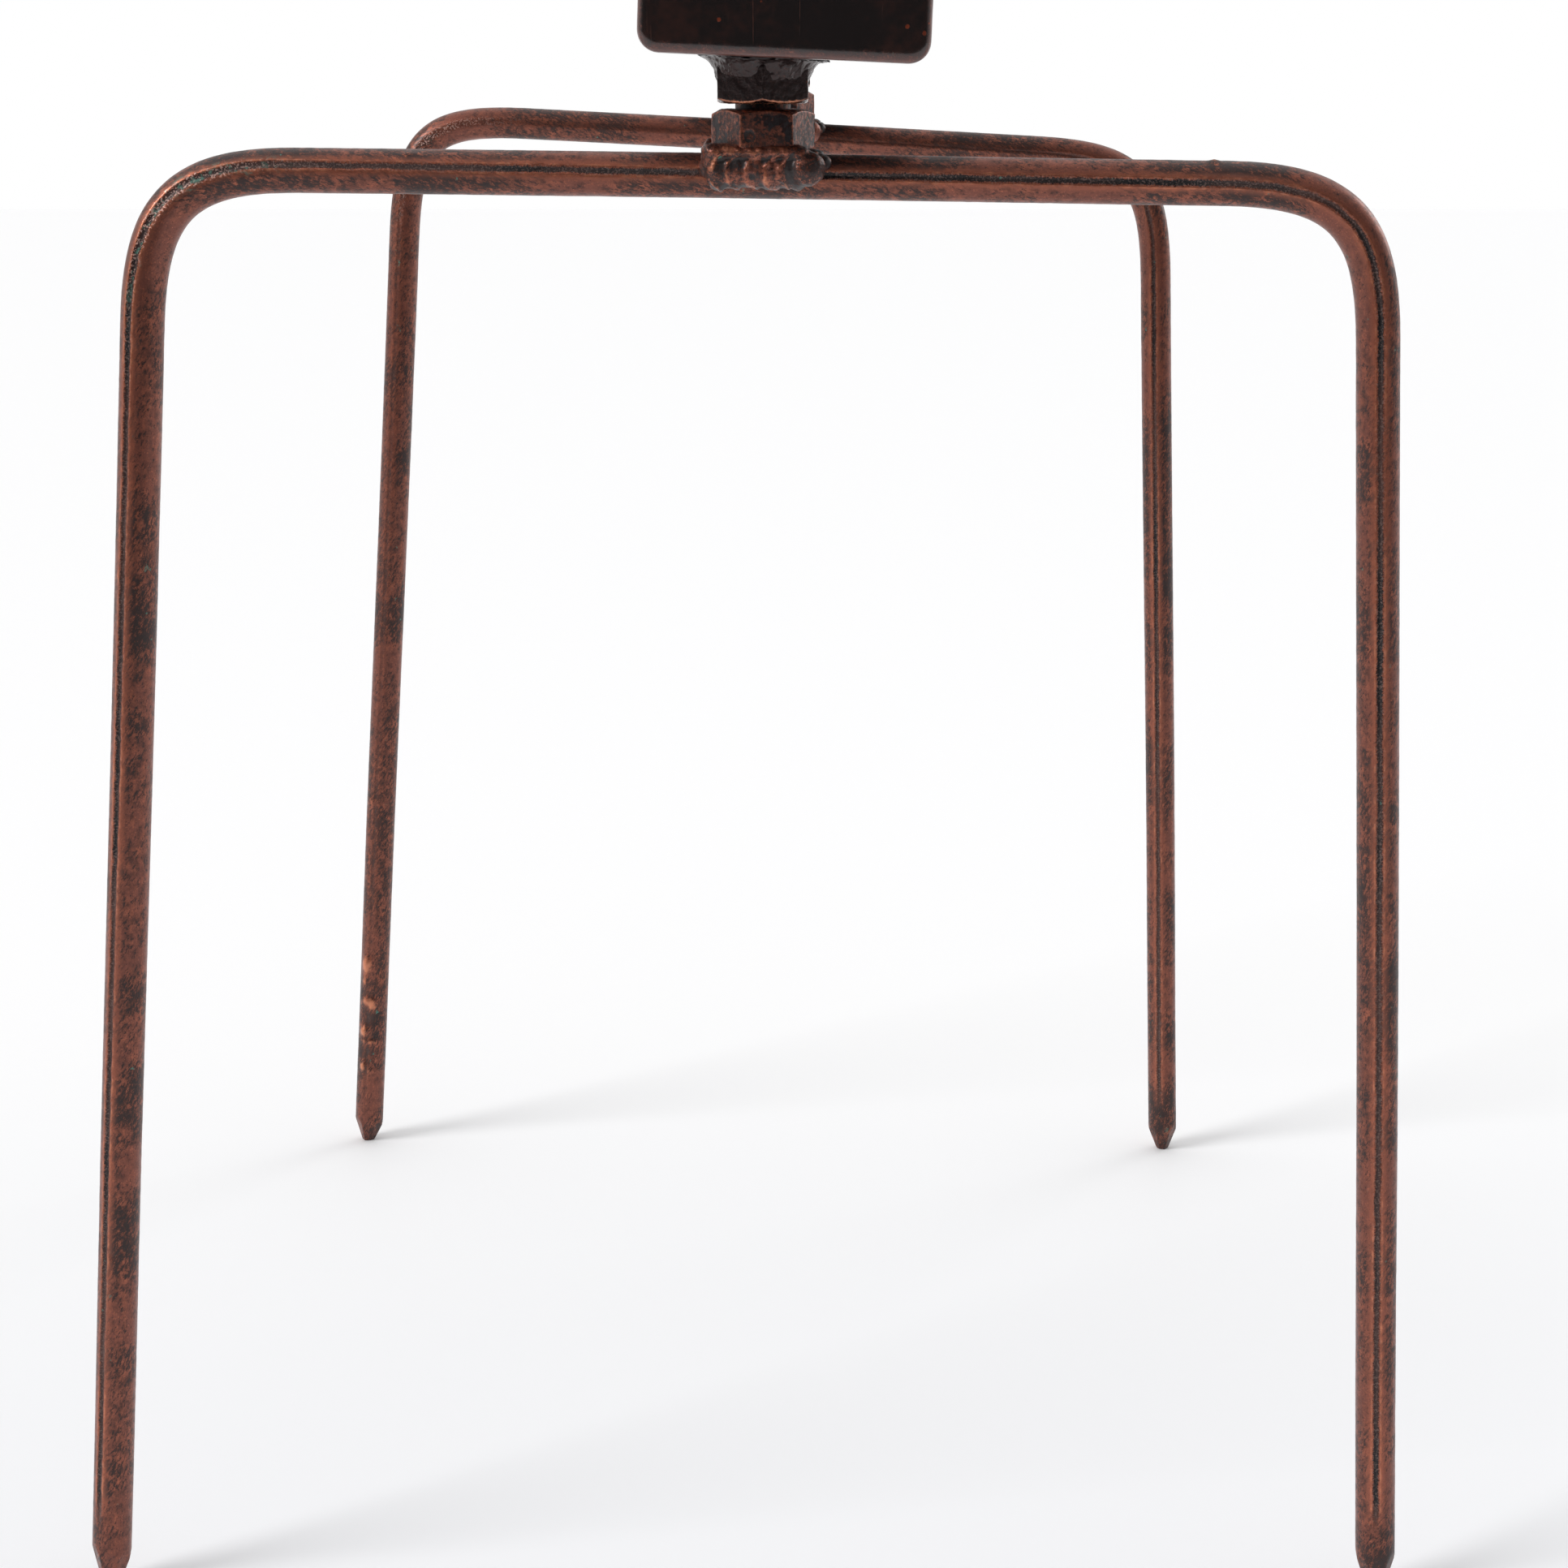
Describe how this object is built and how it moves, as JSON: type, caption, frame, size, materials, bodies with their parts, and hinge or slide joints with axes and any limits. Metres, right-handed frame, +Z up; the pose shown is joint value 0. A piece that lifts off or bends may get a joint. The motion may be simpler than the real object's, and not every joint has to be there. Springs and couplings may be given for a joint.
{
  "type": "bunsen burner",
  "caption": "Gas burner with a hose tail, needle valve and turning air collar, on a box beam carried by two swivelling leg frames bent from copper-plated round bar with pointed feet.",
  "frame": {"origin": "on the floor, in the middle of the stand's footprint", "axes": "+Z up, the beam runs along Y with its closed front end towards -Y, the hose tail points to -X and the needle valve to +X"},
  "size_m": [0.2151, 0.226, 0.4106],
  "materials": {
    "rod_copper": "antique copper plate over drawn steel bar, dark patina in the seam",
    "nut_copper": "antique copper plate, blackened in the corners",
    "weld_copper": "copper-plated weld bead",
    "beam_dark": "near-black glossy patina over copper plate, rubbed to copper on its edges",
    "burner_copper": "antique copper plate over turned brass",
    "raw_brass": "plain turned brass",
    "seal_rubber": "black nitrile rubber"
  },
  "bodies": {
    "burner_body": {"body_tube": "beam_dark", "front_end_plate": "beam_dark", "rear_end_plate": "beam_dark", "burner_socket": "beam_dark", "socket_weld": "weld_copper", "burner_base": "burner_copper", "gas_jet": "raw_brass", "barrel": "burner_copper", "barrel_locknut": "burner_copper", "collar_stop_ring": "burner_copper", "flame_head": "burner_copper", "valve_packing": "seal_rubber", "valve_bonnet": "burner_copper", "hose_washer": "seal_rubber", "hose_tail": "burner_copper", "front_stud": "nut_copper", "rear_stud": "nut_copper", "front_upper_nut": "nut_copper", "rear_upper_nut": "nut_copper", "front_upper_weld": "weld_copper", "rear_upper_weld": "weld_copper"},
    "front_legs": {"front_leg_frame": "rod_copper", "front_lower_nut": "nut_copper", "front_lower_weld": "weld_copper"},
    "rear_legs": {"rear_leg_frame": "rod_copper", "rear_lower_nut": "nut_copper", "rear_lower_weld": "weld_copper"},
    "air_collar": {"air_collar": "burner_copper"},
    "needle": {"valve_spindle": "raw_brass"},
    "knob": {"valve_knob": "burner_copper", "knob_screw": "raw_brass"}
  },
  "joints": [
    {"name": "front_leg_swivel", "type": "hinge", "parent": "burner_body", "child": "front_legs", "pos_m": [0.0041, -0.094, 0.2382], "axis": [0, 0, 1], "range_deg": [-60, 60]},
    {"name": "rear_leg_swivel", "type": "hinge", "parent": "burner_body", "child": "rear_legs", "pos_m": [0.0061, 0.094, 0.2382], "axis": [0, 0, 1], "range_deg": [-60, 60]},
    {"name": "air_collar_turn", "type": "hinge", "parent": "burner_body", "child": "air_collar", "pos_m": [0.00809, 0, 0.32538], "axis": [0, 0, 1], "range_deg": [0, 90]},
    {"name": "needle_travel", "type": "slide", "parent": "burner_body", "child": "needle", "axis": [1, 0, 0], "range_m": [0, 0.0012]},
    {"name": "valve_turn", "type": "hinge", "parent": "needle", "child": "knob", "pos_m": [0.03509, 0, 0.29558], "axis": [1, 0, 0], "range_deg": [0, 540]}
  ],
  "couplings": [
    {"joint": "valve_turn", "follows": "needle_travel", "rad_per_m": 7854}
  ]
}
